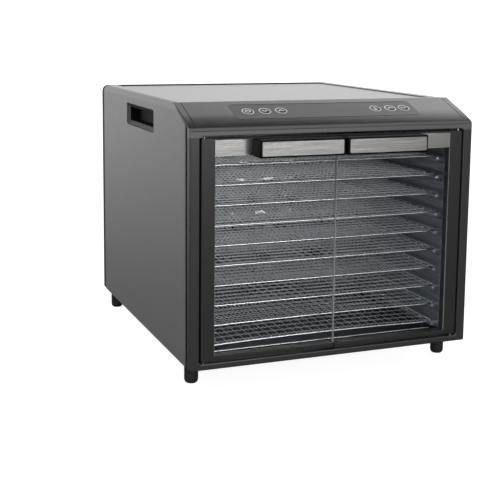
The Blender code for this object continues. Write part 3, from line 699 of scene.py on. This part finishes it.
class Print:
    """Pale lines and dark shading, printed on the fascia's slope."""

    def __init__(self):
        self.pale = Build()
        self.dark = Build()
        self.matrix = slope_frame()

    def sheet(self, build, pts, thickness):
        build.loft([place(pts, "Z", 0.0), place(pts, "Z", thickness)], matrix=self.matrix)

    def shade(self, pts):
        self.sheet(self.dark, pts, DARK_PRINT_T)

    def sector(self, x, y, radius, start, sweep):
        pts = [(x, y)]
        for i in range(13):
            a = math.radians(start + sweep * i / 12)
            pts.append((x + radius * math.cos(a), y + radius * math.sin(a)))
        self.shade(pts)

    def bar(self, x0, y0, x1, y1, width):
        d = Vector((x1 - x0, y1 - y0)).normalized()
        n = Vector((-d.y, d.x)) * width / 2
        pts = [(x0 + n.x, y0 + n.y), (x0 - n.x, y0 - n.y), (x1 - n.x, y1 - n.y), (x1 + n.x, y1 + n.y)]
        self.sheet(self.pale, pts, PRINT_T)

    def ring(self, x, y, radius, width, start=0.0, sweep=360.0):
        whole = sweep >= 360
        steps = max(8, int(sweep / 9))
        inner, outer = radius - width / 2, radius + width / 2
        loops = []
        for i in range(steps if whole else steps + 1):
            a = math.radians(start + sweep * i / steps)
            c, s = math.cos(a), math.sin(a)
            loops.append([(x + c * inner, y + s * inner, 0.0), (x + c * outer, y + s * outer, 0.0),
                          (x + c * outer, y + s * outer, PRINT_T), (x + c * inner, y + s * inner, PRINT_T)])
        self.pale.loft(loops, closed=whole, matrix=self.matrix)


def power_sign(ink, x, y):
    ink.ring(x, y + 0.5, 3.6, 1.1, 120, 300)
    ink.bar(x, y + 1.0, x, y + 5.4, 1.1)
    ink.sector(x + 0.6, y - 0.6, 7.2, 200, 150)


def down_sign(ink, x, y):
    ink.bar(x - 4, y + 2, x, y - 1.4, 1.2)
    ink.bar(x, y - 1.4, x + 4, y + 2, 1.2)
    ink.sector(x + 0.6, y - 0.6, 7.2, 215, 120)


def up_sign(ink, x, y):
    ink.bar(x - 4, y - 1.0, x, y + 2.4, 1.2)
    ink.bar(x, y + 2.4, x + 4, y - 1.0, 1.2)
    ink.sector(x + 0.6, y - 1.0, 6.8, 215, 125)


def heat_sign(ink, x, y):
    ink.bar(x, y - 1, x, y + 4.5, 1.1)
    ink.ring(x, y - 2.4, 1.8, 1.1)
    ink.sector(x + 1.2, y - 0.6, 6.4, 230, 120)


def touch_marks(m):
    """Six ringed touch keys with plain signs, and a painted shade line along the panel's rear edge, where
    the wall of its recess is in shade.
    """
    ink = Print()
    signs = (power_sign, down_sign, up_sign, heat_sign, up_sign, down_sign)
    for x, sign in zip(KEYS_X, signs):
        ink.ring(x, KEY_S, KEY_RING_R, 1.0)
        sign(ink, x, KEY_S)
    # Painted shade: a dark strip along the touch panel's rear edge, for the shaded wall of its recess.
    ink.shade([(-140.0, 60.6), (140.0, 60.6), (139.0, 61.9), (-139.0, 61.9)])
    to_piece("touch_shading", ink.dark.mesh("touch_shading"), "cabinet", m["dark_print"], 0)
    to_piece("touch_marks", ink.pale.mesh("touch_marks"), "cabinet", m["print"], 0)


# ---- stage --------------------------------------------------------------------------------------


def camera():
    ahead = AHEAD.normalized()
    right = (RIGHT - ahead * RIGHT.dot(ahead)).normalized()
    up = right.cross(ahead)
    data = bpy.data.cameras.new("camera")
    data.sensor_width = 36
    data.lens = LENS
    data.shift_y = SHIFT_Y
    obj = bpy.data.objects.new("camera", data)
    bpy.context.scene.collection.objects.link(obj)
    turn = Matrix((right, up, -ahead)).transposed().to_4x4()
    obj.matrix_world = Matrix.Translation(EYE) @ turn
    bpy.context.scene.camera = obj


def area(name, at, towards, size, power):
    data = bpy.data.lights.new(name, "AREA")
    data.shape = "RECTANGLE"
    data.size, data.size_y = size
    data.energy = power
    obj = bpy.data.objects.new(name, data)
    bpy.context.scene.collection.objects.link(obj)
    aim = Vector(towards) - Vector(at)
    obj.matrix_world = Matrix.Translation(at) @ aim.to_track_quat("-Z", "Y").to_matrix().to_4x4()


# Studio brightness by the sine of the elevation, from straight down to straight up
SKY = ((-1.0, 0.03), (-0.30, 0.08), (-0.17, 0.21), (-0.10, 0.45), (-0.02, 0.6), (0.15, 0.6), (0.45, 0.6),
       (0.75, 0.2), (1.0, 0.2))
# Flags darken: direction, cosine at the rim, cosine at full effect, share of light left
FLAGS = (((0.996, -0.087, 0.0), 0.54, 0.62, 0.2), ((-0.93, -0.37, 0.0), 0.60, 0.80, 0.25))
# Panels add light: direction, cosine at the rim, cosine at full effect, gain, and the sines of the
# elevation between which they fade in and out
PANELS = (
    ((0.2, 0.98, 0.05), 0.85, 0.95, 1.02, (-0.30, -0.10, 0.10, 0.35)),
    ((0.60, 0.55, 0.60), 0.78, 0.92, 1.8, (0.20, 0.40, 0.66, 0.745)),
    ((-0.174, -0.985, 0.0), 0.67, 0.79, 1.7, (-0.04, 0.08, 0.40, 0.60)),
    ((-0.70, 0.70, 0.0), 0.88, 0.98, 0.6, (-0.30, -0.10, 0.20, 0.40)),
)


class Sky:
    """World nodes that give one brightness for each direction."""

    def __init__(self):
        world = bpy.data.worlds.new("world")
        bpy.context.scene.world = world
        world.use_nodes = True
        self.tree = world.node_tree
        self.back = self.tree.nodes["Background"]
        coord = self.tree.nodes.new("ShaderNodeTexCoord")
        self.way = coord.outputs["Generated"]

    def math(self, operation, a, b):
        n = self.tree.nodes.new("ShaderNodeMath")
        n.operation = operation
        for socket, value in zip(n.inputs, (a, b)):
            if isinstance(value, float):
                socket.default_value = value
            else:
                self.tree.links.new(value, socket)
        return n.outputs[0]

    def towards(self, direction):
        n = self.tree.nodes.new("ShaderNodeVectorMath")
        n.operation = "DOT_PRODUCT"
        self.tree.links.new(self.way, n.inputs[0])
        n.inputs[1].default_value = Vector(direction).normalized()
        return n.outputs["Value"]

    def smooth(self, value, start, stop, low, high):
        n = self.tree.nodes.new("ShaderNodeMapRange")
        n.interpolation_type = "SMOOTHSTEP"
        for key, number in (("From Min", start), ("From Max", stop), ("To Min", low), ("To Max", high)):
            n.inputs[key].default_value = number
        self.tree.links.new(value, n.inputs["Value"])
        return n.outputs["Result"]

    def build(self):
        level = SKY[0][1]
        height = self.towards((0, 0, 1))
        for (z0, v0), (z1, v1) in zip(SKY, SKY[1:]):
            level = self.math("ADD", level, self.smooth(height, z0, z1, 0.0, v1 - v0))
        for direction, rim, full, gain in FLAGS:
            level = self.math("MULTIPLY", level, self.smooth(self.towards(direction), rim, full, 1.0, gain))
        for direction, rim, full, gain, (low, low_full, high_full, high) in PANELS:
            share = self.smooth(self.towards(direction), rim, full, 0.0, gain)
            share = self.math("MULTIPLY", share, self.smooth(height, low, low_full, 0.0, 1.0))
            share = self.math("MULTIPLY", share, self.smooth(height, high_full, high, 1.0, 0.0))
            level = self.math("ADD", level, share)
        rays = self.tree.nodes.new("ShaderNodeLightPath")
        level = self.math("MAXIMUM", level, rays.outputs["Is Camera Ray"])
        self.tree.links.new(level, self.back.inputs["Strength"])
        self.back.inputs["Color"].default_value = (1, 1, 1, 1)


def stage():
    mesh = bpy.data.meshes.new("floor")
    mesh.from_pydata([(-6, -6, 0), (6, -6, 0), (6, 6, 0), (-6, 6, 0)], [], [(0, 1, 2, 3)])
    floor = bpy.data.objects.new("floor", mesh)
    bpy.context.scene.collection.objects.link(floor)
    pale = Paint("floor_paint", (0.4, 0.4, 0.4), 0.6)
    pale.set("Emission Color", (1, 1, 1, 1))
    pale.set("Emission Strength", 0.9)
    floor.data.materials.append(pale.mat)
    floor.visible_diffuse = False
    floor.visible_glossy = False
    Sky().build()
    area("key_light", (-1.3, -0.5, 1.4), (-0.1, 0.0, 0.25), (0.8, 0.8), 10)
    area("tray_light", (0.35, -1.9, 0.58), (0.0, -0.1, 0.18), (0.9, 0.45), 5.5)
    bpy.context.scene.view_settings.view_transform = "Standard"


# ---- assembly -----------------------------------------------------------------------------------


def main():
    camera()
    m = make_materials()
    slots = {p["node"]: p["material_slot"] for p in frame["record"]["subparts"]}
    for name, obj in NODES.items():
        obj.data.materials.clear()
        obj.data.materials.append(m[slots[name]])
    # The drip tray, the liner floor and the rear baffle get the steel darkened with painted shade.
    for name in ("drip_tray", "liner_floor", "rear_baffle"):
        NODES[name].data.materials[0] = m["dull_steel"]
    shell(m)
    recess_plate(m)
    for index in range(TRAYS):
        tray(index, m)
    glass_seal(m)
    door_trims(m)
    drip_tray_bead(m)
    screws(m)
    touch_marks(m)
    stage()


main()
